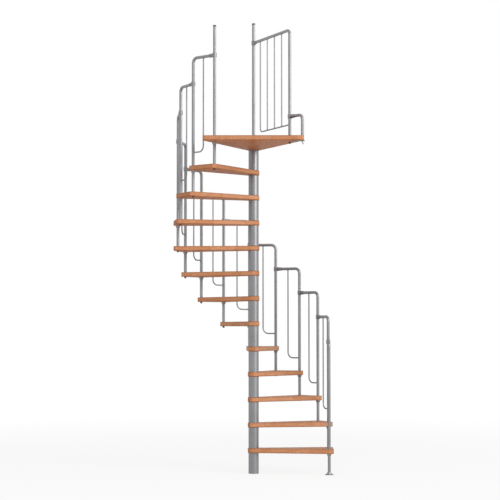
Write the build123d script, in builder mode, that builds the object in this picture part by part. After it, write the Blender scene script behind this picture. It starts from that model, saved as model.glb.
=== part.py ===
from build123d import *
import math
import os

# Kit spiral staircase: beech treads and a beech landing threaded on a steel column,
# with bent steel tubes that each make one step of the handrail.
# The origin is on the column's axis at floor level, +Z up, the landing's front towards -Y.

# Stair
step_count = 12
rise = 222.0
step_angle = 21.0
first_post_angle = -11.5
board_thickness = 40.0

# Column
column_radius = 45.0
sleeve_wall = 2.0
core_radius = 25.0
core_wall = 3.0
base_thickness = 12.0
base_hole_circle = 68.0
base_hole_radius = 4.5
base_hole_count = 4
bush_depth = 120.0
bush_lip = 4.0

# Treads and landing
hub_radius = 51.0
tread_reach = 700.0
tread_corner_radius = 35.0
edge_radius = 3.0
post_end_inset = 40.2
post_side_inset = 35.2
landing_reach = 780.0
landing_lead = 29.5
landing_side_inset = 19.0
landing_corner_radius = 38.0

# Rail tubes
tube_radius = 13.0
tube_wall = 1.5
rail_height = 931.5
rail_bend = 42.0
plug_length = 40.0
end_post_height = 954.0
newel_radius = 14.0
newel_wall = 2.0
newel_height = 1082.0
cap_thickness = 13.0
cap_lip = 0.8

# Infill rods
rod_radius = 6.0
rod_position = 0.48
rod_bend = 50.0
rod_height = 116.0

# Clamps, collars, bolts and foot
clamp_wall = 4.5
clamp_height = 38.0
clamp_sleeve = 40.0
clamp_root_radius = 18.5
clamp_tip_radius = 15.5
run_setback = 5.0
collar_top_radius = 21.0
collar_lip = 2.0
collar_height = 20.0
bolt_radius = 4.0
bolt_reach = 30.0
bolt_head_radius = 9.0
bolt_head_height = 14.0
foot_radius = 37.5
foot_thickness = 6.0
foot_cone_radius = 21.0
foot_cone_height = 22.0

# Guard at the landing
guard_lead = 26.5
guard_setout = 21.0
guard_height = 919.0
guard_bend = 42.0
guard_rod_spacing = 136.0
guard_rod_count = 4
guard_bar_radius = 6.0
guard_rod_radius = 5.5
guard_rod_bend = 32.0
guard_bottom_height = 108.5
hoop_height = 178.0
hoop_bend = 42.0
hoop_front_inset = 42.0
hoop_side_inset = 37.6

# Strap and hook under the landing's corner
strap_inner = 95.0
strap_overhang = 20.0
strap_width = 40.0
strap_thickness = 6.0
strap_corner_radius = 6.0
hook_radius = 5.0
hook_elbow = 8.0
hook_drop = 26.0
hook_throw = 9.0
hook_bend = 16.0

# Clearances
running_gap = 0.3

# A post stands this far from the axis, in from the end and the side of its tread
half_step = math.radians(step_angle / 2)
post_circle = (tread_reach - post_end_inset) / math.cos(half_step)
tread_end_width = 2 * (post_circle * math.sin(half_step) + post_side_inset)

# The landing's sides run out from its hub and pass the last post at their inset
landing_angle = first_post_angle + step_count * step_angle + landing_lead
landing_flare = math.radians(landing_lead) - math.asin((hub_radius - landing_side_inset) / post_circle)
landing_end_width = 2 * (hub_radius / math.cos(landing_flare) + landing_reach * math.tan(landing_flare))

landing_top = (step_count + 1) * rise
landing_underside = landing_top - board_thickness
tube_bore = tube_radius + running_gap
newel_bore = newel_radius + running_gap
bolt_bore = bolt_radius + running_gap
run_start = tube_radius + run_setback


def on_circle(radius, angle):
    return Vector(radius * math.cos(math.radians(angle)), radius * math.sin(math.radians(angle)), 0)


def post_at(index):
    return on_circle(post_circle, first_post_angle + index * step_angle)


def tread_angle(number):
    return first_post_angle + (number - 0.5) * step_angle


def rail_level(index):
    return (index + 1) * rise + rail_height


def upright_plane(start, target):
    """A vertical plane at start whose X runs level towards target and whose Y is up."""
    along = (target - start).normalized()
    return Plane(origin=start, x_dir=along, z_dir=along.cross(Vector(0, 0, 1)))


def heading(start, target):
    """The level direction from start to target, in degrees."""
    return math.degrees(math.atan2(target.Y - start.Y, target.X - start.X))


def infill_rod(start, target, level, foot):
    """A rod hung from the run, turned in to the post and cut to fit both tubes."""
    plane = upright_plane(start, target)
    hang = rod_position * step_chord
    with BuildPart() as rod:
        add(bent_tube(plane, [(hang, level), (hang, foot), (0, foot)], rod_radius, 0, rod_bend))
        with Locations((start.X, start.Y, foot)):
            Cylinder(tube_bore, 2 * rod_height, mode=Mode.SUBTRACT)
        with BuildSketch(Plane(origin=plane.from_local_coords((0, level, 0)), z_dir=plane.x_dir)):
            Circle(tube_bore)
        extrude(amount=step_chord, mode=Mode.SUBTRACT)
    return rod.part


def clamp(spot, target, level, bore, start):
    """A ring round a post with a tapered socket that takes the end of a run."""
    along = Location((spot.X, spot.Y, level), (0, 0, heading(spot, target)))
    with BuildPart() as ring:
        with Locations(along):
            Cylinder(bore + clamp_wall, clamp_height)
            Cone(clamp_root_radius, clamp_tip_radius, start + clamp_sleeve, rotation=(0, 90, 0),
                 align=(Align.CENTER, Align.CENTER, Align.MIN))
            Cylinder(bore, 2 * clamp_height, mode=Mode.SUBTRACT)
            with Locations((start, 0, 0)):
                Cylinder(tube_bore, clamp_sleeve, rotation=(0, 90, 0),
                         align=(Align.CENTER, Align.CENTER, Align.MIN), mode=Mode.SUBTRACT)
    return ring.part


def write(name, shape):
    shape.label = name
    export_step(shape, f"parts/{name}.step")


def wedge_board(name, top, angle, reach, end_width, corner_radius, through_holes, bolt_holes):
    """A board that narrows from its outer edge to a hub round the column."""
    half = end_width / 2
    spread = math.atan2(half, reach) + math.acos(hub_radius / math.hypot(reach, half))
    side = on_circle(hub_radius, math.degrees(spread))
    facing = on_circle(1, angle)
    with BuildPart() as board:
        with BuildSketch(Plane(origin=(0, 0, top - board_thickness), x_dir=facing, z_dir=(0, 0, 1))):
            with BuildLine():
                Polyline((side.X, side.Y), (reach, half), (reach, -half), (side.X, -side.Y), close=True)
            make_face()
            outer = vertices().group_by(Axis.X)[-1]
            fillet(outer, corner_radius)
            Circle(hub_radius)
        extrude(amount=board_thickness)
        fillet(edges().group_by(Axis.Z)[-1] + edges().group_by(Axis.Z)[0], edge_radius)
        with Locations((0, 0, top)):
            Hole(core_radius + running_gap)
        with Locations(*[(spot.X, spot.Y, top) for spot in through_holes]):
            Hole(tube_bore)
        with Locations(*[(spot.X, spot.Y, top) for spot in bolt_holes]):
            Hole(bolt_bore)
    write(name, board.part)


def bent_tube(plane, corners, radius, wall, bend):
    """A round tube along a path with rounded corners, hollow if it has a wall."""
    with BuildPart() as tube:
        with BuildLine(plane) as path:
            FilletPolyline(*corners, radius=bend)
        with BuildSketch(Plane(origin=path.line @ 0, z_dir=path.line % 0)):
            Circle(radius)
            if wall:
                Circle(radius - wall, mode=Mode.SUBTRACT)
        sweep()
    return tube.part


def rail_tube(name, start, target, bottom, level, bend, reach, plugged):
    """A post that bends over into a level run towards target and stops short of it."""
    corners = [(0, bottom), (0, level), (reach, level)]
    with BuildPart() as post:
        add(bent_tube(upright_plane(start, target), corners, tube_radius, tube_wall, bend))
        if plugged:
            with Locations((start.X, start.Y, bottom)):
                Cylinder(tube_radius - tube_wall, plug_length, align=(Align.CENTER, Align.CENTER, Align.MIN))
                Cylinder(bolt_bore, plug_length, align=(Align.CENTER, Align.CENTER, Align.MIN),
                         mode=Mode.SUBTRACT)
    write(name, post.part)


os.makedirs("parts", exist_ok=True)

posts = [post_at(index) for index in range(step_count + 1)]
newel = Vector(0, 0, 0)
guard_circle = post_circle + guard_setout
guard = on_circle(guard_circle, landing_angle + guard_lead)
landing_side = on_circle(1, landing_angle + 90)
hoop_end = (on_circle(landing_reach - hoop_front_inset, landing_angle)
            + landing_side * (landing_end_width / 2 - hoop_side_inset))
step_chord = (posts[1] - posts[0]).length

# Base flange, bolted to the floor inside the lowest sleeve
with BuildPart() as base_flange:
    Cylinder(column_radius - sleeve_wall - running_gap, base_thickness,
             align=(Align.CENTER, Align.CENTER, Align.MIN))
    with PolarLocations(base_hole_circle / 2, base_hole_count):
        Hole(base_hole_radius)
write("base_flange", base_flange.part)

# Core tube, which carries the stack of hubs and sleeves
with BuildPart() as column_core:
    with BuildSketch(Plane.XY.offset(base_thickness)):
        Circle(core_radius)
        Circle(core_radius - core_wall, mode=Mode.SUBTRACT)
    extrude(amount=landing_top - bush_lip - base_thickness)
write("column_core", column_core.part)

# Spacer sleeves, one under each board
with BuildPart() as column_sleeves:
    for number in range(step_count + 1):
        with BuildSketch(Plane.XY.offset(number * rise)):
            Circle(column_radius)
            Circle(column_radius - sleeve_wall, mode=Mode.SUBTRACT)
        extrude(amount=rise - board_thickness)
write("column_sleeves", column_sleeves.part)

# Bush that seats the newel in the top of the core
with BuildPart() as newel_bush:
    with BuildSketch(Plane.XZ):
        with BuildLine():
            Polyline((newel_bore, landing_top), (core_radius, landing_top),
                     (core_radius, landing_top - bush_lip),
                     (core_radius - core_wall - running_gap, landing_top - bush_lip),
                     (core_radius - core_wall - running_gap, landing_top - bush_depth),
                     (newel_bore, landing_top - bush_depth), close=True)
        make_face()
    revolve(axis=Axis.Z)
write("newel_bush", newel_bush.part)

# Treads: a post passes the low corner and the next one stands on the high corner
for number in range(1, step_count + 1):
    wedge_board(f"tread_{number:02d}", number * rise, tread_angle(number), tread_reach,
                tread_end_width, tread_corner_radius, [posts[number - 1]], [posts[number]])
wedge_board("landing", landing_top, landing_angle, landing_reach, landing_end_width,
            landing_corner_radius, [posts[step_count]], [guard, hoop_end])

# Handrail posts, the first from the floor and the others from a tread
run_reach = step_chord - run_start - running_gap
rail_tube("starter_post", posts[0], posts[1], 0, rail_level(0), rail_bend, run_reach, False)
for index in range(1, step_count):
    rail_tube(f"rail_post_{index:02d}", posts[index], posts[index + 1], index * rise,
              rail_level(index), rail_bend, run_reach, True)

end_top = landing_top + end_post_height
with BuildPart() as end_post:
    with Locations((posts[step_count].X, posts[step_count].Y, step_count * rise)):
        Cylinder(tube_radius, end_top - step_count * rise, align=(Align.CENTER, Align.CENTER, Align.MIN))
        with Locations((0, 0, plug_length)):
            Cylinder(tube_radius - tube_wall, end_top, align=(Align.CENTER, Align.CENTER, Align.MIN),
                     mode=Mode.SUBTRACT)
        Cylinder(bolt_bore, plug_length, align=(Align.CENTER, Align.CENTER, Align.MIN),
                 mode=Mode.SUBTRACT)
write("end_post", end_post.part)

newel_top = landing_top + newel_height
newel_bottom = landing_top - bush_depth
with BuildPart() as centre_newel:
    with BuildSketch(Plane.XY.offset(newel_bottom)):
        Circle(newel_radius)
        Circle(newel_radius - newel_wall, mode=Mode.SUBTRACT)
    extrude(amount=newel_top - newel_bottom)
write("centre_newel", centre_newel.part)

# Flat caps on the two open posts
with BuildPart() as post_caps:
    for spot, radius, level in ((posts[step_count], tube_radius, end_top), (newel, newel_radius, newel_top)):
        with BuildSketch(Plane.XY.offset(level)):
            with Locations((spot.X, spot.Y)):
                Circle(radius + cap_lip)
        extrude(amount=cap_thickness)
write("post_caps", post_caps.part)

# Infill rods, hung from the run and turned in to the lower post
with BuildPart() as infill_rods:
    for index in range(1, step_count):
        add(infill_rod(posts[index], posts[index + 1], rail_level(index), (index + 1) * rise + rod_height))
write("infill_rods", infill_rods.part)

# Clamps that join each run to the next post
with BuildPart() as rail_clamps:
    for index in range(1, step_count + 1):
        add(clamp(posts[index], posts[index - 1], rail_level(index - 1), tube_bore, run_start))
write("rail_clamps", rail_clamps.part)

# Conical collars on the posts, under each board
with BuildPart() as post_collars:
    for number in range(1, step_count + 2):
        spot = posts[number - 1]
        with Locations((spot.X, spot.Y, number * rise - board_thickness)):
            Cone(tube_bore + collar_lip, collar_top_radius, collar_height,
                 align=(Align.CENTER, Align.CENTER, Align.MAX))
            Cylinder(tube_bore, 2 * collar_height, mode=Mode.SUBTRACT)
write("post_collars", post_collars.part)

# Bolts up through each board into the foot of the post that stands on it
bolt_spots = [(posts[number], number * rise) for number in range(1, step_count + 1)]
bolt_spots.append((guard, landing_top))
with BuildPart() as tread_bolts:
    for spot, top in bolt_spots:
        with Locations((spot.X, spot.Y, top - board_thickness)):
            Cylinder(bolt_head_radius, bolt_head_height, align=(Align.CENTER, Align.CENTER, Align.MAX))
            Cylinder(bolt_radius, board_thickness + bolt_reach,
                     align=(Align.CENTER, Align.CENTER, Align.MIN))
write("tread_bolts", tread_bolts.part)

# Foot of the starter post
with BuildPart() as starter_foot:
    with Locations((posts[0].X, posts[0].Y, 0)):
        Cylinder(foot_radius, foot_thickness, align=(Align.CENTER, Align.CENTER, Align.MIN))
        with Locations((0, 0, foot_thickness)):
            Cone(foot_cone_radius, tube_bore + collar_lip, foot_cone_height,
                 align=(Align.CENTER, Align.CENTER, Align.MIN))
        Cylinder(tube_bore, 4 * foot_cone_height, mode=Mode.SUBTRACT)
write("starter_foot", starter_foot.part)

# Guard beside the landing: bent tube, welded infill and their clamps
guard_level = landing_top + guard_height
newel_run_start = newel_radius + run_setback
rail_tube("guard_frame", guard, newel, landing_top, guard_level, guard_bend,
          guard_circle - newel_run_start - running_gap, True)

guard_plane = upright_plane(newel, guard)
bottom_level = landing_top + guard_bottom_height
first_rod = guard_rod_spacing
rod_top = guard_level - tube_bore
with BuildPart() as guard_infill:
    add(bent_tube(guard_plane,
                  [(first_rod, rod_top), (first_rod, bottom_level), (guard_circle - tube_bore, bottom_level)],
                  guard_bar_radius, 0, guard_rod_bend))
    for number in range(2, guard_rod_count + 1):
        spot = guard_plane.from_local_coords((number * guard_rod_spacing, bottom_level, 0))
        with Locations(spot):
            Cylinder(guard_rod_radius, rod_top - bottom_level, align=(Align.CENTER, Align.CENTER, Align.MIN))
write("guard_infill", guard_infill.part)

hoop_level = landing_top + hoop_height
hoop_plane = upright_plane(guard, hoop_end)
hoop_span = (hoop_end - guard).length
with BuildPart() as edge_hoop:
    add(bent_tube(hoop_plane,
                  [(hoop_span, landing_top), (hoop_span, hoop_level), (run_start + running_gap, hoop_level)],
                  tube_radius, tube_wall, hoop_bend))
    with Locations((hoop_end.X, hoop_end.Y, landing_top)):
        Cylinder(tube_radius - tube_wall, plug_length, align=(Align.CENTER, Align.CENTER, Align.MIN))
        Cylinder(bolt_bore, plug_length, align=(Align.CENTER, Align.CENTER, Align.MIN), mode=Mode.SUBTRACT)
write("edge_hoop", edge_hoop.part)

with BuildPart() as guard_clamps:
    add(clamp(newel, guard, guard_level, newel_bore, newel_run_start))
    add(clamp(guard, hoop_end, hoop_level, tube_bore, run_start))
write("guard_clamps", guard_clamps.part)

# Strap under the landing's corner, whose stud holds the hoop's leg and ends in a hook
strap_plane = Plane(origin=hoop_end + Vector(0, 0, landing_underside), x_dir=landing_side, z_dir=(0, 0, -1))
hook_root = landing_underside - strap_thickness
with BuildPart() as landing_bracket:
    with BuildSketch(strap_plane):
        with Locations(((strap_overhang - strap_inner) / 2, 0)):
            RectangleRounded(strap_inner + strap_overhang, strap_width, strap_corner_radius)
    extrude(amount=strap_thickness)
    with Locations((hoop_end.X, hoop_end.Y, landing_underside)):
        Cylinder(bolt_radius, board_thickness + bolt_reach, align=(Align.CENTER, Align.CENTER, Align.MIN))
    add(bent_tube(upright_plane(hoop_end, hoop_end + landing_side),
                  [(0, landing_underside - strap_thickness / 2), (0, hook_root - hook_elbow),
                   (hook_throw, hook_root - hook_drop)], hook_radius, 0, hook_bend))
write("landing_bracket", landing_bracket.part)
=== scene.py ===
import math

import bpy
from bpy.props import FloatProperty, FloatVectorProperty, IntProperty, PointerProperty
from bpy.types import Operator, Panel, PropertyGroup
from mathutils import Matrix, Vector


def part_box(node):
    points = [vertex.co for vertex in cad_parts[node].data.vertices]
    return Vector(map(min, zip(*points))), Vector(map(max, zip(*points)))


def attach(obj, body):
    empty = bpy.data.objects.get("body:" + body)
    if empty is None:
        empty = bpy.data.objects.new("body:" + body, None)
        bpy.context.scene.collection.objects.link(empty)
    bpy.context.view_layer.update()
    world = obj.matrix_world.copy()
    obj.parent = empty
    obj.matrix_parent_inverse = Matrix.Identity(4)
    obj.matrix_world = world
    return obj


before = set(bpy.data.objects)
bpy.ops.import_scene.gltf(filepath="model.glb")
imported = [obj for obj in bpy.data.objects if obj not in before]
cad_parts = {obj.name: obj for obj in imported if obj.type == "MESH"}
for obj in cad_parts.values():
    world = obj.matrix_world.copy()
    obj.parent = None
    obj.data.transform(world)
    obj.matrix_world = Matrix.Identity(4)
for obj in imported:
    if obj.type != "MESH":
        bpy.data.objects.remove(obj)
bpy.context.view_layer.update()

bl_info = {
    "name": "Kit spiral stair",
    "version": (1, 0, 0),
    "blender": (4, 5, 0),
    "location": "View3D > Sidebar > Spiral stair",
    "description": "Finishes, screws and welds for a kit spiral stair with beech treads and tube rails",
    "category": "Add Mesh",
}

TREADS = sorted(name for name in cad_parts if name.startswith("tread_") and name != "tread_bolts")
RAIL_POSTS = ["starter_post"] + sorted(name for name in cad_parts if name.startswith("rail_post_"))
RAIL_CHAIN = RAIL_POSTS + ["end_post"]
BOARDS = TREADS + ["landing"]
UP = Vector((0, 0, 1))


# Places read from the frame

# A vertex this near to a tube's lowest point belongs to its foot
RING_DEPTH = 0.0005


def foot_of(name):
    """The middle of the lowest ring of an upright tube."""
    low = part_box(name)[0].z
    ring = [v.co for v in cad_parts[name].data.vertices if v.co.z < low + RING_DEPTH]
    span = [(min(p[axis] for p in ring), max(p[axis] for p in ring)) for axis in (0, 1)]
    return Vector((sum(span[0]) / 2, sum(span[1]) / 2, low))


POST_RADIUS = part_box("end_post")[1].x - foot_of("end_post").x
POST_FEET = [foot_of(name) for name in RAIL_CHAIN]


def run_level(index):
    """The height of the middle of the level run that post number index ends in."""
    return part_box(RAIL_CHAIN[index])[1].z - POST_RADIUS


def toward(start, target):
    """The level unit direction from start to target."""
    flat = Vector((target.x - start.x, target.y - start.y, 0))
    return flat.normalized()


GUARD_FOOT = foot_of("guard_frame")
NEWEL_FOOT = foot_of("centre_newel")
HOOP_FOOT = foot_of("edge_hoop")
GUARD_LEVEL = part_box("guard_frame")[1].z - POST_RADIUS
HOOP_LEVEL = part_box("edge_hoop")[1].z - POST_RADIUS

# An infill rod hangs from its run at this share of the way to the next post, and its lower end
# meets its own post at this height over the next post's foot
ROD_RADIUS = 0.006
ROD_POSITION = 0.48
ROD_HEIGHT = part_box("infill_rods")[0].z + ROD_RADIUS - POST_FEET[2].z


# Shader writing

# The colour sockets of a Mix node by number, because its float and vector sockets have the same names
MIX_FACTOR = 0
MIX_FIRST = 6
MIX_SECOND = 7
MIX_COLOUR = 2


class Wire:
    """A shader socket, whose arithmetic adds Math nodes to its tree."""

    def __init__(self, bench, socket):
        self.bench = bench
        self.socket = socket

    def maths(self, operation, *values):
        return self.bench.add("ShaderNodeMath", {"operation": operation}, dict(enumerate(values)))

    def __add__(self, other):
        return self.maths("ADD", self, other)

    def __radd__(self, other):
        return self.maths("ADD", other, self)

    def __sub__(self, other):
        return self.maths("SUBTRACT", self, other)

    def __rsub__(self, other):
        return self.maths("SUBTRACT", other, self)

    def __mul__(self, other):
        return self.maths("MULTIPLY", self, other)

    def __truediv__(self, other):
        return self.maths("DIVIDE", self, other)

    def floor(self):
        return self.maths("FLOOR", self)

    def fraction(self):
        return self.maths("FRACT", self)

    def size(self):
        return self.maths("ABSOLUTE", self)

    def sine(self):
        return self.maths("SINE", self)

    def between(self, low, high):
        """0 below low, 1 above high, and smooth between them."""
        return self.bench.add("ShaderNodeMapRange", {"interpolation_type": "SMOOTHSTEP", "clamp": True},
                              {"Value": self, "From Min": low, "From Max": high})


class Bench:
    """A node tree that is written one call at a time."""

    def __init__(self, tree):
        self.tree = tree
        tree.nodes.clear()

    def node(self, kind, settings=None, inputs=None):
        made = self.tree.nodes.new(kind)
        for key, value in (settings or {}).items():
            setattr(made, key, value)
        for key, value in (inputs or {}).items():
            if isinstance(value, Wire):
                self.tree.links.new(value.socket, made.inputs[key])
            else:
                made.inputs[key].default_value = value
        return made

    def add(self, kind, settings=None, inputs=None, output=0):
        return Wire(self, self.node(kind, settings, inputs).outputs[output])

    def outputs(self, kind, names, settings=None, inputs=None):
        made = self.node(kind, settings, inputs)
        return [Wire(self, made.outputs[name]) for name in names]

    def blend(self, factor, first, second):
        """The first colour where the factor is 0, the second where it is 1."""
        colours = [c if isinstance(c, Wire) else (*c, 1.0) for c in (first, second)]
        return self.add("ShaderNodeMix", {"data_type": "RGBA", "clamp_factor": True},
                        {MIX_FACTOR: factor, MIX_FIRST: colours[0], MIX_SECOND: colours[1]}, MIX_COLOUR)

    def vector(self, x, y, z):
        return self.add("ShaderNodeCombineXYZ", None, {"X": x, "Y": y, "Z": z})

    def noise(self, place, scale, detail=2.0, rough=0.5):
        return self.add("ShaderNodeTexNoise", {"noise_dimensions": "3D"},
                        {"Vector": place, "Scale": scale, "Detail": detail, "Roughness": rough})

    def chance(self, x, y, z):
        """One random value, from 0 to 1, for each cell number."""
        cell = self.vector(x, y, z)
        return self.add("ShaderNodeTexWhiteNoise", {"noise_dimensions": "3D"}, {"Vector": cell})

    def moved(self, place, step):
        """The place, moved by a step, so that two finishes with the same noise don't match."""
        return self.add("ShaderNodeMapping", {"vector_type": "POINT"}, {"Vector": place, "Location": step})

    def bump(self, height, strength, distance, normal=None):
        """A Bump node, on top of another one where a normal is given."""
        inputs = {"Height": height, "Strength": strength, "Distance": distance}
        if normal is not None:
            inputs["Normal"] = normal
        return self.add("ShaderNodeBump", None, inputs)

    def surface(self, **inputs):
        named = {key.replace("_", " "): value for key, value in inputs.items()}
        shader = self.add("ShaderNodeBsdfPrincipled", None, named)
        self.node("ShaderNodeOutputMaterial", None, {"Surface": shader})


def new_material(name):
    material = bpy.data.materials.new(name)
    material.use_nodes = True
    return material, Bench(material.node_tree)


def linear(colour):
    """A display colour, from 0 to 1, as the linear one that shaders use."""
    return tuple(c / 12.92 if c <= 0.04045 else ((c + 0.055) / 1.055) ** 2.4 for c in colour)


def beech(name, angle, top, thickness, seed, look):
    """Clear-varnished beech, glued from staves that run along the board."""
    material, bench = new_material(name)
    place = bench.add("ShaderNodeTexCoord", None, None, "Object")
    board = bench.add("ShaderNodeMapping", {"vector_type": "POINT"},
                      {"Vector": place, "Rotation": (0, 0, -angle), "Location": (0, 0, -top)})
    x, y, z = bench.outputs("ShaderNodeSeparateXYZ", "XYZ", None, {"Vector": board})

    # Staves lie side by side, each cut into pieces whose ends are moved at random by up to three pieces
    pieces_of_shift = 3
    across = y / look.stave_width + 0.5
    row = across.floor()
    shift = bench.chance(row, seed, 1.0)
    along = x / look.stave_length + shift * pieces_of_shift
    piece = along.floor()
    tone = bench.chance(row, piece, seed + 2.0)
    drift = bench.chance(row, piece, seed + 5.0)

    # Growth rings are arcs across the end of each stave and long cathedrals along it
    wander_along = 1.6
    wander_across = 9
    wander_reach = 1.4
    ring_along = 0.9
    ring_across = 14
    drift_along = 40
    drift_across = 17
    wander_place = bench.vector(x * wander_along, y * wander_across, z * wander_across)
    wander = bench.noise(wander_place, 1.0, 3.0)
    ring_place = bench.vector(x * ring_along + drift * drift_along, y * ring_across + drift * drift_across,
                              z * ring_across + wander * wander_reach)
    rings = bench.noise(ring_place, 1.0, 3.0, 0.55)
    bands = (rings * look.ring_count).fraction()
    ring_line = bands.between(0.0, 0.6) * (1 - bands.between(0.72, 1.0))

    # Fibres are fine and long, ray flecks are short dashes
    fibre_along = 14
    fibre_across = 420
    fibre_drift = 9
    fleck_along = 240
    fleck_wide = 1300
    fleck_deep = 620
    fleck_drift = 5
    fibre_place = bench.vector(x * fibre_along + drift * fibre_drift, y * fibre_across, z * fibre_across)
    fibre = bench.noise(fibre_place, 1.0, 3.0, 0.6)
    fleck_place = bench.vector(x * fleck_along + drift * fleck_drift, y * fleck_wide, z * fleck_deep)
    fleck = bench.noise(fleck_place, 1.0, 1.0).between(0.66, 0.72)

    # Glue lines lie where one stave or piece ends and the next begins
    seam = (across.fraction() - 0.5).size().between(0.5 - look.seam_width / look.stave_width, 0.5)
    butt = (along.fraction() - 0.5).size().between(0.5 - look.seam_width / look.stave_length, 0.5)
    joint = bench.add("ShaderNodeMath", {"operation": "MAXIMUM"}, {0: seam, 1: butt})

    # The board's ends show end grain
    normal = bench.add("ShaderNodeNewGeometry", None, None, "Normal")
    facing = bench.add("ShaderNodeVectorRotate", {"rotation_type": "Z_AXIS"},
                       {"Vector": normal, "Angle": -angle})
    ahead, upward = bench.outputs("ShaderNodeSeparateXYZ", "XZ", None, {"Vector": facing})
    end_grain = ahead.size().between(0.75, 0.95)

    # The long edges are eased, and painted a little darker as shade, where a rounder edge would turn away
    # from the light
    off_middle = (z + thickness / 2).size()
    upright = 1 - upward.size()
    ease = off_middle.between(thickness / 2 - look.ease_width, thickness / 2)
    painted_edge_shade = ease * upright.between(0.1, 0.6)

    # Each stave has a tone of its own that its rings vary
    tone_share = 0.75
    ring_tone = 0.35
    tone_shift = 0.1
    depth = tone * tone_share + rings * ring_tone - tone_shift
    flesh = bench.blend(depth, linear(look.beech_light), linear(look.beech_dark))

    # Each kind of mark lies over it by its share
    ring_colour = linear(look.beech_ring)
    fleck_and_edge_shade_colour = linear(look.beech_fleck_and_edge_shade)
    ring_share = 0.3
    fibre_share = 0.22
    fleck_share = 0.4
    end_share = 0.22
    joint_share = 0.35
    # Strength of the painted shade on the long edges
    edge_shade_share = 0.45
    for amount, colour in ((ring_line * ring_share, ring_colour),
                           (fibre.between(0.35, 0.8) * fibre_share, ring_colour),
                           (fleck * fleck_share, fleck_and_edge_shade_colour),
                           (end_grain * end_share, fleck_and_edge_shade_colour),
                           (joint * joint_share, fleck_and_edge_shade_colour),
                           # The last mark is painted shade along the long edges, in the fleck colour
                           (painted_edge_shade * edge_shade_share, fleck_and_edge_shade_colour)):
        flesh = bench.blend(amount, flesh, colour)

    # The varnish is smeared a little, the pores and joints are sunk, and the edges are rounded
    smear_scale = 7
    varnish_depth = 0.00015
    rounding = 0.003
    mirror_level = 0.07
    smear = bench.noise(bench.vector(x * smear_scale, y * smear_scale, z * smear_scale), 1.0, 2.0)
    rough = look.varnish_roughness + smear * 0.12 + fleck * 0.08 + end_grain * 0.1
    relief = fibre * 0.4 - joint * 1.6 - fleck * 0.5
    eased = bench.bump(1 - ease * ease, 1.0, rounding)
    bench.surface(Base_Color=flesh, Roughness=rough, Specular_IOR_Level=mirror_level,
                  Normal=bench.bump(relief, 0.35, varnish_depth, eased))
    return material


# The share of bare metal in the look of coated and plated steel
METAL_SHARE = 0.85


def coated_steel(name, colour, roughness, seed):
    """Silver-grey powder coating, with fine orange peel, a flake sparkle and faint handling marks."""
    material, bench = new_material(name)
    place = bench.add("ShaderNodeTexCoord", None, None, "Object")
    spot = bench.moved(place, (seed, seed, 0))
    peel_scale = 600.0
    peel_depth = 0.0001
    flake_scale = 3000.0
    flake_share = 0.04
    flake_lift = 1.35
    cloud_scale = 3.0
    cloud_shade = 0.86
    scuff_across = 40
    scuff_along = 11
    scuff_share = 0.12
    peel = bench.noise(spot, peel_scale, 2.0)
    flake = bench.noise(spot, flake_scale, 0.0)
    cloud = bench.noise(spot, cloud_scale, 2.0)
    x, y, z = bench.outputs("ShaderNodeSeparateXYZ", "XYZ", None, {"Vector": spot})
    scuff_place = bench.vector(x * scuff_across, y * scuff_across, z * scuff_along)
    scuff = bench.noise(scuff_place, 1.0, 2.0).between(0.6, 0.75)

    base = linear(colour)
    shade = tuple(c * cloud_shade for c in base)
    spark = tuple(min(1.0, c * flake_lift) for c in base)
    coat = bench.blend(cloud.between(0.3, 0.7), shade, base)
    coat = bench.blend(flake.between(0.6, 0.75) * flake_share, coat, spark)
    coat = bench.blend(scuff * scuff_share, coat, shade)
    rough = roughness + cloud * 0.06 + scuff * 0.06
    bench.surface(Base_Color=coat, Roughness=rough, Metallic=METAL_SHARE,
                  Normal=bench.bump(peel, 0.03, peel_depth))
    return material


def plated_steel(name, colour, seed):
    """Dark zinc plating with a turned, slightly blotched surface."""
    material, bench = new_material(name)
    place = bench.add("ShaderNodeTexCoord", None, None, "Object")
    spot = bench.moved(place, (seed, 0, seed))
    blotch_scale = 160.0
    blotch_shade = 0.7
    turning_scale = 1800.0
    turning_depth = 0.0002
    blotch = bench.noise(spot, blotch_scale, 3.0)
    turning = bench.noise(spot, turning_scale, 1.0)
    base = linear(colour)
    skin = bench.blend(blotch.between(0.3, 0.7), tuple(c * blotch_shade for c in base), base)
    rough = 0.38 + blotch * 0.15
    bench.surface(Base_Color=skin, Roughness=rough, Metallic=METAL_SHARE,
                  Normal=bench.bump(turning, 0.15, turning_depth))
    return material


def moulded_plastic(name, colour):
    """Matt dark plastic with a fine spark-eroded grain."""
    material, bench = new_material(name)
    place = bench.add("ShaderNodeTexCoord", None, None, "Object")
    grain_scale = 1600.0
    grain_depth = 0.0002
    worn_scale = 60.0
    worn_share = 0.4
    worn_lift = 1.3
    grain = bench.noise(place, grain_scale, 2.0)
    worn = bench.noise(place, worn_scale, 2.0)
    base = linear(colour)
    skin = bench.blend(worn.between(0.4, 0.7) * worn_share, base, tuple(c * worn_lift for c in base))
    rough = 0.5 + grain * 0.12
    bench.surface(Base_Color=skin, Roughness=rough, Normal=bench.bump(grain, 0.2, grain_depth))
    return material


def dress(name, material):
    """Gives one material to a piece of the frame."""
    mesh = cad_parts[name].data
    mesh.materials.clear()
    mesh.materials.append(material)


# Repeated fittings

# A face looks up when the height of its unit normal is over this
LOOKS_UP = 0.9

# Corners of a screw head, and of the rings and beads along and across
SCREW_SIDES = 16
RING_SIDES = (24, 4)
WELD_SIDES = (14, 6)

# The chamfer adds this share to a screw head's height, and leaves this share of its width
RIM_HEIGHT = 0.25
RIM_WIDTH = 0.82

# Radians of ripple from one corner of a weld ring to the next
WELD_RIPPLE_STEP = 2.1

# Edges of a fitting that turn by less than this many degrees are smoothed
SMOOTH_ANGLE = 35.0


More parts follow.
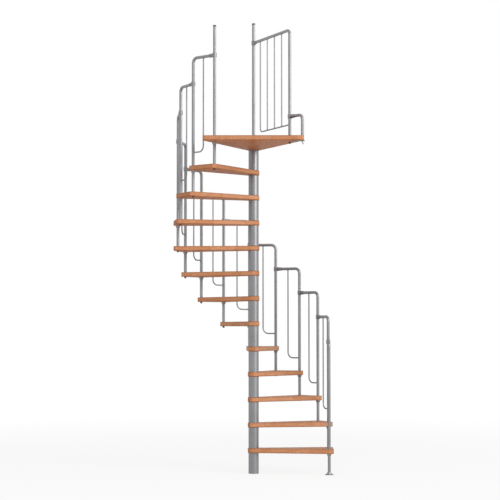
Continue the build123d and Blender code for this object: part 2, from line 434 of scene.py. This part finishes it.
class Plan(Bench):
    """A Geometry Nodes tree with named inputs, ending in real faces of one material."""

    def __init__(self, name, sizes):
        super().__init__(bpy.data.node_groups.new(name, "GeometryNodeTree"))
        face = self.tree.interface
        face.new_socket(name="Places", in_out="INPUT", socket_type="NodeSocketGeometry")
        for label in sizes:
            face.new_socket(name=label, in_out="INPUT", socket_type="NodeSocketFloat")
        face.new_socket(name="Finish", in_out="INPUT", socket_type="NodeSocketMaterial")
        face.new_socket(name="Fittings", in_out="OUTPUT", socket_type="NodeSocketGeometry")
        source = self.node("NodeGroupInput")
        self.given = {socket.name: Wire(self, socket) for socket in source.outputs if socket.name}

    def spread(self, shape):
        """Sets the shape on each place, with its Z along the place's own aim."""
        aim = self.add("GeometryNodeInputNamedAttribute", {"data_type": "FLOAT_VECTOR"}, {"Name": "aim"})
        turn = self.add("FunctionNodeAlignRotationToVector", {"axis": "Z"}, {"Vector": aim})
        spread = self.add("GeometryNodeInstanceOnPoints", None,
                          {"Points": self.given["Places"], "Instance": shape, "Rotation": turn})
        real = self.add("GeometryNodeRealizeInstances", None, {"Geometry": spread})
        done = self.add("GeometryNodeSetMaterial", None,
                        {"Geometry": real, "Material": self.given["Finish"]})
        self.node("NodeGroupOutput", None, {"Fittings": done})

    def top_only(self):
        """Picks the faces that look up."""
        normal = self.add("GeometryNodeInputNormal")
        z = self.outputs("ShaderNodeSeparateXYZ", "Z", None, {"Vector": normal})[0]
        return self.add("FunctionNodeCompare", {"data_type": "FLOAT", "operation": "GREATER_THAN"},
                        {"A": z, "B": LOOKS_UP})

    def socket_in(self, shape, width, depth):
        """Sinks a recess into the shape's flat top."""
        rim = self.node("GeometryNodeExtrudeMesh", None,
                        {"Mesh": shape, "Selection": self.top_only(), "Offset Scale": 0.0})
        inner = self.add("GeometryNodeScaleElements", None,
                         {"Geometry": Wire(self, rim.outputs["Mesh"]),
                          "Selection": Wire(self, rim.outputs["Top"]), "Scale": width})
        return self.add("GeometryNodeExtrudeMesh", None,
                        {"Mesh": inner, "Selection": Wire(self, rim.outputs["Top"]),
                         "Offset Scale": 0 - depth})


def screw_plan(name):
    """A drum-shaped head with a chamfer and a recess in its top."""
    plan = Plan(name, ("Radius", "Height", "Recess", "Recess depth"))
    radius = plan.given["Radius"]
    height = plan.given["Height"]
    drum = plan.add("GeometryNodeMeshCylinder", {"fill_type": "NGON"},
                    {"Vertices": SCREW_SIDES, "Radius": radius, "Depth": height})
    rim = plan.node("GeometryNodeExtrudeMesh", None,
                    {"Mesh": drum, "Selection": plan.top_only(), "Offset Scale": height * RIM_HEIGHT})
    head = plan.add("GeometryNodeScaleElements", None,
                    {"Geometry": Wire(plan, rim.outputs["Mesh"]),
                     "Selection": Wire(plan, rim.outputs["Top"]), "Scale": RIM_WIDTH})
    plan.spread(plan.socket_in(head, plan.given["Recess"], plan.given["Recess depth"]))
    return plan.tree


def ring_plan(name):
    """A ring whose section has a few corners, with its height along the axis as asked."""
    plan = Plan(name, ("Radius", "Thickness", "Height"))
    path = plan.add("GeometryNodeCurvePrimitiveCircle", None,
                    {"Resolution": RING_SIDES[0], "Radius": plan.given["Radius"]})
    section = plan.add("GeometryNodeCurvePrimitiveCircle", None,
                       {"Resolution": RING_SIDES[1], "Radius": plan.given["Thickness"]})
    tube = plan.add("GeometryNodeCurveToMesh", None, {"Curve": path, "Profile Curve": section})
    flat = plan.add("GeometryNodeTransform", None,
                    {"Geometry": tube, "Scale": plan.vector(1.0, 1.0, plan.given["Height"])})
    plan.spread(flat)
    return plan.tree


def weld_plan(name):
    """A ring of weld with the ripples that its runs leave."""
    plan = Plan(name, ("Radius", "Thickness", "Ripple"))
    path = plan.add("GeometryNodeCurvePrimitiveCircle", None,
                    {"Resolution": WELD_SIDES[0], "Radius": plan.given["Radius"]})
    step = plan.add("GeometryNodeInputIndex")
    swell = 1 + plan.given["Ripple"] * (step * WELD_RIPPLE_STEP).sine()
    section = plan.add("GeometryNodeCurvePrimitiveCircle", None,
                       {"Resolution": WELD_SIDES[1], "Radius": plan.given["Thickness"]})
    plan.spread(plan.add("GeometryNodeCurveToMesh", None,
                         {"Curve": path, "Profile Curve": section, "Scale": swell}))
    return plan.tree


def fit(name, tree, places, sizes, finish):
    """Makes one plain mesh of the fittings at the places, and lets it ride on the stair."""
    mesh = bpy.data.meshes.new(name + "_places")
    mesh.from_pydata([place for place, aim in places], [], [])
    aims = mesh.attributes.new("aim", "FLOAT_VECTOR", "POINT")
    for number, (place, aim) in enumerate(places):
        aims.data[number].vector = aim
    holder = bpy.data.objects.new(name, mesh)
    bpy.context.scene.collection.objects.link(holder)
    modifier = holder.modifiers.new("fittings", "NODES")
    modifier.node_group = tree
    for socket in tree.interface.items_tree:
        if socket.in_out == "INPUT" and socket.name in sizes:
            modifier[socket.identifier] = sizes[socket.name]
        elif socket.in_out == "INPUT" and socket.name == "Finish":
            modifier[socket.identifier] = finish
    bpy.context.view_layer.update()
    seen = holder.evaluated_get(bpy.context.evaluated_depsgraph_get())
    made = bpy.data.meshes.new_from_object(seen)
    if not made.polygons:
        raise RuntimeError(f"{name} came out empty")
    holder.modifiers.remove(modifier)
    holder.data = made
    bpy.data.meshes.remove(mesh)
    made.name = name
    made.shade_smooth()
    made.set_sharp_from_angle(angle=math.radians(SMOOTH_ANGLE))
    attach(holder, "root")
    return holder


def needed(name):
    """A finish that an operator before this one made."""
    if name not in bpy.data.materials:
        raise RuntimeError(f"{name} has not been made yet")
    return bpy.data.materials[name]


# Settings

class StairLooks(PropertyGroup):
    """Colours and finish of the boards and the steel"""

    beech_light: FloatVectorProperty(
        name="Beech, light", description="Palest staves", subtype="COLOR", size=3,
        min=0, max=1, default=(0.79, 0.605, 0.478))
    beech_dark: FloatVectorProperty(
        name="Beech, dark", description="Darkest staves", subtype="COLOR", size=3,
        min=0, max=1, default=(0.722, 0.526, 0.389))
    beech_ring: FloatVectorProperty(
        name="Growth rings", description="Late wood in the growth rings", subtype="COLOR", size=3,
        min=0, max=1, default=(0.64, 0.375, 0.225))
    # This colour also paints the shade along the boards' long edges
    beech_fleck_and_edge_shade: FloatVectorProperty(
        name="Flecks", description="Ray flecks, end grain and glue lines", subtype="COLOR", size=3,
        min=0, max=1, default=(0.50, 0.27, 0.15))
    stave_width: FloatProperty(
        name="Stave width", description="Width of one glued stave", unit="LENGTH", default=0.043)
    stave_length: FloatProperty(
        name="Stave length", description="Length of one piece within a stave", unit="LENGTH", default=0.52)
    seam_width: FloatProperty(
        name="Seam width", description="Half width of the darkened glue line", unit="LENGTH", default=0.0006)
    # This width also sets the band of painted shade along the long edges
    ease_width: FloatProperty(
        name="Eased edge", description="Width of the eased and darker long edges",
        unit="LENGTH", default=0.010)
    ring_count: FloatProperty(
        name="Rings", description="Number of growth rings across the tone range", default=9.0)
    varnish_roughness: FloatProperty(
        name="Varnish roughness", description="Roughness of the clear varnish", subtype="FACTOR",
        min=0, max=1, default=0.42)
    steel: FloatVectorProperty(
        name="Steel coating", description="Silver-grey coating of column, tubes and rods", subtype="COLOR",
        size=3, min=0, max=1, default=(0.565, 0.565, 0.58))
    steel_roughness: FloatProperty(
        name="Coating roughness", description="Roughness of the coating", subtype="FACTOR",
        min=0, max=1, default=0.36)
    roughness_shift: FloatProperty(
        name="Coating difference", description="How much glossier tubes are, and how much duller fittings",
        min=0, max=1, default=0.05)
    bolt: FloatVectorProperty(
        name="Bolts", description="Dark zinc plating of bolts and screws", subtype="COLOR", size=3,
        min=0, max=1, default=(0.38, 0.36, 0.35))
    cap: FloatVectorProperty(
        name="Caps", description="Plastic caps of the open posts", subtype="COLOR", size=3,
        min=0, max=1, default=(0.30, 0.30, 0.31))


class StairFittings(PropertyGroup):
    """Sizes of the screws, washers, rings and welds"""

    clamp_screw_setback: FloatProperty(
        name="Clamp screw setback", description="From the post's axis along the run",
        unit="LENGTH", default=0.031)
    clamp_screw_depth: FloatProperty(
        name="Clamp screw depth", description="From the run's axis to the middle of the head",
        unit="LENGTH", default=0.0168)
    clamp_screw_radius: FloatProperty(
        name="Clamp screw radius", description="Radius of the grub screws", unit="LENGTH", default=0.004)
    clamp_screw_recess: FloatProperty(
        name="Clamp screw recess", description="Width of the recess as a share of the head", default=0.5)
    clamp_screw_recess_depth: FloatProperty(
        name="Clamp screw recess depth", description="Depth of the recess", unit="LENGTH", default=0.0016)
    screw_height: FloatProperty(
        name="Screw height", description="Height of all the screw heads, without the chamfer",
        unit="LENGTH", default=0.003)
    wood_screw_radius: FloatProperty(
        name="Wood screw radius", description="Radius of the foot and strap screws",
        unit="LENGTH", default=0.0045)
    wood_screw_recess: FloatProperty(
        name="Wood screw recess", description="Width of the recess as a share of the head", default=0.55)
    wood_screw_recess_depth: FloatProperty(
        name="Wood screw recess depth", description="Depth of the recess", unit="LENGTH", default=0.0014)
    foot_screw_count: IntProperty(
        name="Foot screws", description="Screws round the first post's foot", default=4, min=1)
    foot_screw_inset: FloatProperty(
        name="Foot screw inset", description="From the foot's rim", unit="LENGTH", default=0.008)
    foot_screw_level: FloatProperty(
        name="Foot screw level", description="Middle of the heads over the floor",
        unit="LENGTH", default=0.0075)
    strap_screw_drop: FloatProperty(
        name="Strap screw drop", description="Middle of the heads under the landing",
        unit="LENGTH", default=0.0075)
    strap_screw_inset: FloatProperty(
        name="Strap screw inset", description="From the strap's inner end to the first screw",
        unit="LENGTH", default=0.014)
    strap_screw_spacing: FloatProperty(
        name="Strap screw spacing", description="From one strap screw to the next",
        unit="LENGTH", default=0.030)
    washer_radius: FloatProperty(
        name="Washer radius", description="Outer radius of the washers", unit="LENGTH", default=0.0125)
    washer_width: FloatProperty(
        name="Washer width", description="From the inner to the outer rim", unit="LENGTH", default=0.006)
    washer_thickness: FloatProperty(
        name="Washer thickness", description="Thickness of the washers", unit="LENGTH", default=0.002)
    hub_ring_width: FloatProperty(
        name="Hub ring width", description="How far the rings stand out from the sleeves",
        unit="LENGTH", default=0.0012)
    hub_ring_height: FloatProperty(
        name="Hub ring height", description="Height of the rings", unit="LENGTH", default=0.004)
    weld_thickness: FloatProperty(
        name="Weld thickness", description="Radius of a weld bead's section", unit="LENGTH", default=0.0019)
    weld_ripple: FloatProperty(
        name="Weld ripple", description="How far a bead swells and narrows along its run", default=0.18)
    guard_rod_count: IntProperty(
        name="Guard rods", description="Upright rods of the guard", default=4, min=1)
    guard_rod_spacing: FloatProperty(
        name="Guard rod spacing", description="From rod to rod, and from the newel to the first",
        unit="LENGTH", default=0.136)


class StairStage(PropertyGroup):
    """Camera, floor and lamps"""

    camera_place: FloatVectorProperty(
        name="Camera place", description="Where the camera stands", subtype="TRANSLATION", size=3,
        default=(0.0496, -14.0267, 1.2351))
    camera_turn: FloatVectorProperty(
        name="Camera turn", description="How far the camera looks up, and to the left", subtype="EULER",
        size=2, default=(0.05183, 0.0058))
    lens: FloatProperty(name="Lens", description="Focal length in millimetres", default=114.47)
    sensor: FloatProperty(name="Sensor", description="Width of the sensor in millimetres", default=36.0)
    sight: FloatProperty(
        name="Sight", description="How far the camera sees", unit="LENGTH", default=200.0)
    floor_size: FloatProperty(
        name="Floor size", description="Side of the floor", unit="LENGTH", default=60.0)
    floor_colour: FloatVectorProperty(
        name="Floor", description="Floor where it is seen", subtype="COLOR", size=3,
        min=0, max=1, default=(0.9, 0.9, 0.9))
    floor_bounce: FloatVectorProperty(
        name="Floor bounce", description="Floor for the warm light that it throws up at the boards",
        subtype="COLOR", size=3, min=0, max=1, default=(0.8, 0.56, 0.36))
    floor_glow: FloatProperty(
        name="Floor glow", description="Share of the floor's own light near the stair", subtype="FACTOR",
        min=0, max=1, default=0.85)
    fade_start: FloatProperty(
        name="Fade start", description="Where the floor starts to fade to white", unit="LENGTH", default=2.0)
    fade_end: FloatProperty(
        name="Fade end", description="Where the floor is white", unit="LENGTH", default=10.0)
    sky_light: FloatProperty(
        name="Sky light", description="Strength of the sky as a light", default=0.38)
    aim_height: FloatProperty(
        name="Aim height", description="Height over the floor that the lamps look at",
        unit="LENGTH", default=2.0)


# Pieces and finishes

# Each board's random values start this far from the last one's
BOARD_SEED_STEP = 7.0


class STAIR_OT_finish_boards(Operator):
    """Beech for the treads and the landing, with the staves along each board"""

    bl_idname = "stair.finish_boards"
    bl_label = "Finish boards"

    def execute(self, context):
        look = context.scene.stair_looks
        for number, name in enumerate(BOARDS):
            low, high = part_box(name)
            outward = Vector(((low.x + high.x) / 2, (low.y + high.y) / 2, 0))
            if name != "landing":
                outward = (POST_FEET[number] + POST_FEET[number + 1]) / 2
            angle = math.atan2(outward.y, outward.x)
            seed = number * BOARD_SEED_STEP
            dress(name, beech(f"beech_{name}", angle, high.z, high.z - low.z, seed, look))
        return {"FINISHED"}


class STAIR_OT_finish_steel(Operator):
    """Satin coating for the column, tubes, rods and fittings, and plastic for the caps"""

    bl_idname = "stair.finish_steel"
    bl_label = "Finish steel"

    def execute(self, context):
        look = context.scene.stair_looks
        satin = look.steel_roughness
        shift = look.roughness_shift
        column = coated_steel("column_coating", look.steel, satin, 1.0)
        tube = coated_steel("tube_coating", look.steel, satin - shift, 3.0)
        rod = coated_steel("rod_coating", look.steel, satin, 5.0)
        fitting = coated_steel("fitting_coating", look.steel, satin + shift, 7.0)
        cap = moulded_plastic("cap_plastic", look.cap)
        for name in ("column_sleeves", "column_core", "base_flange", "newel_bush"):
            dress(name, column)
        for name in RAIL_CHAIN + ["centre_newel", "guard_frame", "edge_hoop"]:
            dress(name, tube)
        for name in ("infill_rods", "guard_infill"):
            dress(name, rod)
        for name in ("post_collars", "rail_clamps", "guard_clamps", "starter_foot", "landing_bracket"):
            dress(name, fitting)
        dress("post_caps", cap)
        dress("tread_bolts", plated_steel("bolt_plating", look.bolt, 2.0))
        return {"FINISHED"}


class STAIR_OT_clamp_screws(Operator):
    """Grub screws that hold each run in its clamp, one on either side"""

    bl_idname = "stair.clamp_screws"
    bl_label = "Clamp screws"

    def execute(self, context):
        fitting = context.scene.stair_fittings
        joints = []
        for index in range(len(RAIL_POSTS)):
            joints.append((POST_FEET[index + 1], POST_FEET[index], run_level(index)))
        joints.append((NEWEL_FOOT, GUARD_FOOT, GUARD_LEVEL))
        joints.append((GUARD_FOOT, HOOP_FOOT, HOOP_LEVEL))
        places = []
        for post, target, level in joints:
            along = toward(post, target)
            across = Vector((-along.y, along.x, 0))
            spot = post + along * fitting.clamp_screw_setback
            spot.z = level
            for side in (across, -across):
                places.append((spot + side * fitting.clamp_screw_depth, side))
        sizes = {"Radius": fitting.clamp_screw_radius, "Height": fitting.screw_height,
                 "Recess": fitting.clamp_screw_recess, "Recess depth": fitting.clamp_screw_recess_depth}
        piece = fit("clamp_screws", screw_plan("clamp_screw_plan"), places, sizes, needed("bolt_plating"))
        return {"FINISHED"}


class STAIR_OT_foot_screws(Operator):
    """Screws that hold the first post's foot to the floor, and the strap under the landing"""

    bl_idname = "stair.foot_screws"
    bl_label = "Foot and strap screws"

    def execute(self, context):
        fitting = context.scene.stair_fittings
        low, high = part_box("starter_foot")
        middle = (low + high) / 2
        ring = (high.x - low.x) / 2 - fitting.foot_screw_inset
        places = []
        for number in range(fitting.foot_screw_count):
            turn = math.tau * (number + 0.5) / fitting.foot_screw_count
            spot = Vector((middle.x + ring * math.cos(turn), middle.y + ring * math.sin(turn),
                           fitting.foot_screw_level))
            places.append((spot, UP))
        sizes = {"Radius": fitting.wood_screw_radius, "Height": fitting.screw_height,
                 "Recess": fitting.wood_screw_recess, "Recess depth": fitting.wood_screw_recess_depth}
        piece = fit("foot_screws", screw_plan("foot_screw_plan"), places, sizes, needed("bolt_plating"))

        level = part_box("landing")[0].z - fitting.strap_screw_drop
        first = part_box("landing_bracket")[0].x + fitting.strap_screw_inset
        row = (first, first + fitting.strap_screw_spacing)
        places = [(Vector((x, HOOP_FOOT.y, level)), -UP) for x in row]
        piece = fit("strap_screws", screw_plan("strap_screw_plan"), places, sizes, needed("bolt_plating"))
        return {"FINISHED"}


class STAIR_OT_bolt_washers(Operator):
    """Washers between the bolt heads and the boards"""

    bl_idname = "stair.bolt_washers"
    bl_label = "Bolt washers"

    def execute(self, context):
        fitting = context.scene.stair_fittings
        places = []
        for spot, board in zip(POST_FEET[1:] + [GUARD_FOOT], BOARDS):
            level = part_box(board)[0].z - fitting.washer_thickness / 2
            places.append((Vector((spot.x, spot.y, level)), -UP))
        radius = fitting.washer_radius - fitting.washer_width / 2
        sizes = {"Radius": radius, "Thickness": fitting.washer_width / 2,
                 "Height": fitting.washer_thickness / fitting.washer_width}
        piece = fit("bolt_washers", ring_plan("washer_plan"), places, sizes, needed("bolt_plating"))
        return {"FINISHED"}


class STAIR_OT_hub_rings(Operator):
    """Thin rings that seat each sleeve of the column on its boards"""

    bl_idname = "stair.hub_rings"
    bl_label = "Hub rings"

    def execute(self, context):
        fitting = context.scene.stair_fittings
        half = fitting.hub_ring_height / 2
        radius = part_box("column_sleeves")[1].x
        places = []
        for name in BOARDS:
            low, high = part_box(name)
            places.append((Vector((0, 0, low.z - half)), UP))
            if name != "landing":
                places.append((Vector((0, 0, high.z + half)), UP))
        sizes = {"Radius": radius, "Thickness": fitting.hub_ring_width,
                 "Height": half / fitting.hub_ring_width}
        piece = fit("hub_rings", ring_plan("hub_ring_plan"), places, sizes, needed("column_coating"))
        return {"FINISHED"}


class STAIR_OT_rod_welds(Operator):
    """Weld beads where the infill rods meet the tubes"""

    bl_idname = "stair.rod_welds"
    bl_label = "Rod welds"

    def execute(self, context):
        fitting = context.scene.stair_fittings
        places = []
        for index in range(1, len(RAIL_POSTS)):
            post, target = POST_FEET[index], POST_FEET[index + 1]
            along = toward(post, target)
            span = math.hypot(target.x - post.x, target.y - post.y)
            top = post + along * span * ROD_POSITION
            top.z = run_level(index) - POST_RADIUS
            places.append((top, UP))
            side = post + along * POST_RADIUS
            side.z = target.z + ROD_HEIGHT
            places.append((side, along))
        sizes = {"Radius": ROD_RADIUS, "Thickness": fitting.weld_thickness,
                 "Ripple": fitting.weld_ripple}
        piece = fit("rod_welds", weld_plan("rod_weld_plan"), places, sizes, needed("rod_coating"))
        return {"FINISHED"}


class STAIR_OT_guard_welds(Operator):
    """Weld beads along the guard's run and its lower bar"""

    bl_idname = "stair.guard_welds"
    bl_label = "Guard welds"

    def execute(self, context):
        fitting = context.scene.stair_fittings
        along = toward(Vector((0, 0, 0)), GUARD_FOOT)
        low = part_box("guard_infill")[0]
        places = []
        for number in range(1, fitting.guard_rod_count + 1):
            spot = along * fitting.guard_rod_spacing * number
            places.append((Vector((spot.x, spot.y, GUARD_LEVEL - POST_RADIUS)), UP))
            # The first rod bends into the lower bar, so only the others are welded to it
            if number > 1:
                places.append((Vector((spot.x, spot.y, low.z + 2 * ROD_RADIUS)), UP))
        end = GUARD_FOOT - along * POST_RADIUS
        places.append((Vector((end.x, end.y, low.z + ROD_RADIUS)), along))
        sizes = {"Radius": ROD_RADIUS, "Thickness": fitting.weld_thickness,
                 "Ripple": fitting.weld_ripple}
        piece = fit("guard_welds", weld_plan("guard_weld_plan"), places, sizes, needed("rod_coating"))
        return {"FINISHED"}


# Stage

def look_from(place, target):
    """A turn that points an object's -Z from place to target."""
    return (Vector(target) - Vector(place)).to_track_quat("-Z", "Y").to_euler()


def soft_lamp(name, place, target, size, power):
    """A white disk that shines from place to target."""
    data = bpy.data.lights.new(name, "AREA")
    data.shape = "DISK"
    data.size = size
    data.energy = power
    lamp = bpy.data.objects.new(name, data)
    lamp.location = place
    lamp.rotation_euler = look_from(place, target)
    bpy.context.scene.collection.objects.link(lamp)
    return lamp


def seen_rays(bench):
    """1 for what the camera sees, straight, in shiny surfaces or through clear ones, 0 for other rays."""
    camera, glossy, through = bench.outputs(
        "ShaderNodeLightPath", ("Is Camera Ray", "Is Glossy Ray", "Is Transmission Ray"))
    sum_of_rays = {0: camera + glossy, 1: through}
    return bench.add("ShaderNodeMath", {"operation": "ADD", "use_clamp": True}, sum_of_rays)


def white_world(scene, light):
    """A white sky for what the camera and shiny surfaces see, and a dimmer one for light."""
    world = bpy.data.worlds.new("studio_sky")
    world.use_nodes = True
    scene.world = world
    bench = Bench(world.node_tree)
    seen = seen_rays(bench)
    strength = seen * (1.0 - light) + light
    sky = bench.add("ShaderNodeBackground", None, {"Color": (1, 1, 1, 1), "Strength": strength})
    bench.node("ShaderNodeOutputWorld", None, {"Surface": sky})


def pale_floor(stage):
    """A white floor whose own light keeps it near the backdrop and lets the shadow show."""
    size = stage.floor_size
    mesh = bpy.data.meshes.new("studio_floor")
    half = size / 2
    corners = [(-half, -half, 0), (half, -half, 0), (half, half, 0), (-half, half, 0)]
    mesh.from_pydata(corners, [], [(0, 1, 2, 3)])
    floor = bpy.data.objects.new("studio_floor", mesh)
    bpy.context.scene.collection.objects.link(floor)
    material, bench = new_material("floor_white")
    place = bench.add("ShaderNodeTexCoord", None, None, "Object")
    away = bench.add("ShaderNodeVectorMath", {"operation": "LENGTH"}, {0: place}, "Value")
    fade = away.between(stage.fade_start, stage.fade_end)
    seen = seen_rays(bench)
    colour = bench.blend(seen, tuple(stage.floor_bounce), tuple(stage.floor_colour))
    paint = bench.add("ShaderNodeBsdfDiffuse", None, {"Color": colour})
    glow = bench.add("ShaderNodeEmission", None, {"Color": (1, 1, 1, 1), "Strength": 1.0})
    share = seen * (stage.floor_glow + fade * (1 - stage.floor_glow))
    mixed = bench.add("ShaderNodeMixShader", None, {0: share, 1: paint, 2: glow})
    bench.node("ShaderNodeOutputMaterial", None, {"Surface": mixed})
    mesh.materials.append(material)


# Each lamp's name, place, width, power, and whether the tubes mirror it
LAMPS = (
    ("key_lamp", (13.8, -10.9, 8.5), 12.0, 2120, True),
    ("front_lamp", (-1.5, -19.0, 6.0), 8.0, 1480, False),
    ("left_lamp", (-14.0, -5.0, 5.0), 8.0, 270, False),
)


class STAIR_OT_build_stage(Operator):
    """Camera at the photo's angle, pale floor, white surroundings and soft lamps"""

    bl_idname = "stair.build_stage"
    bl_label = "Build stage"

    def execute(self, context):
        scene = context.scene
        stage = scene.stair_stage
        data = bpy.data.cameras.new("stair_camera")
        data.sensor_width = stage.sensor
        data.lens = stage.lens
        data.clip_end = stage.sight
        camera = bpy.data.objects.new("stair_camera", data)
        camera.location = stage.camera_place
        camera.rotation_euler = (math.pi / 2 + stage.camera_turn[0], 0, stage.camera_turn[1])
        scene.collection.objects.link(camera)
        scene.camera = camera
        scene.view_settings.view_transform = "Standard"
        pale_floor(stage)
        white_world(scene, stage.sky_light)
        for name, place, size, power, mirrored in LAMPS:
            lamp = soft_lamp(name, place, (0, 0, stage.aim_height), size, power)
            lamp.visible_glossy = mirrored
        return {"FINISHED"}


# Panel and start

class STAIR_PT_panel(Panel):
    """The stair's pieces, in the order they are made"""

    bl_label = "Spiral stair"
    bl_idname = "STAIR_PT_panel"
    bl_space_type = "VIEW_3D"
    bl_region_type = "UI"
    bl_category = "Spiral stair"

    def draw(self, context):
        for operator in OPERATORS:
            self.layout.operator(operator.bl_idname)
        for settings in (context.scene.stair_looks, context.scene.stair_fittings, context.scene.stair_stage):
            for key in settings.bl_rna.properties.keys():
                if key not in ("rna_type", "name"):
                    self.layout.prop(settings, key)


OPERATORS = (
    STAIR_OT_build_stage,
    STAIR_OT_finish_boards,
    STAIR_OT_finish_steel,
    STAIR_OT_clamp_screws,
    STAIR_OT_foot_screws,
    STAIR_OT_bolt_washers,
    STAIR_OT_hub_rings,
    STAIR_OT_rod_welds,
    STAIR_OT_guard_welds,
)
GROUPS = (StairLooks, StairFittings, StairStage)


def register():
    for kind in GROUPS + OPERATORS + (STAIR_PT_panel,):
        bpy.utils.register_class(kind)
    bpy.types.Scene.stair_looks = PointerProperty(type=StairLooks)
    bpy.types.Scene.stair_fittings = PointerProperty(type=StairFittings)
    bpy.types.Scene.stair_stage = PointerProperty(type=StairStage)


def unregister():
    del bpy.types.Scene.stair_stage
    del bpy.types.Scene.stair_fittings
    del bpy.types.Scene.stair_looks
    for kind in reversed(GROUPS + OPERATORS + (STAIR_PT_panel,)):
        bpy.utils.unregister_class(kind)


def main():
    register()
    bpy.ops.stair.build_stage()
    bpy.ops.stair.finish_boards()
    bpy.ops.stair.finish_steel()
    bpy.ops.stair.clamp_screws()
    bpy.ops.stair.foot_screws()
    bpy.ops.stair.bolt_washers()
    bpy.ops.stair.hub_rings()
    bpy.ops.stair.rod_welds()
    bpy.ops.stair.guard_welds()


if __name__ == "__main__":
    main()
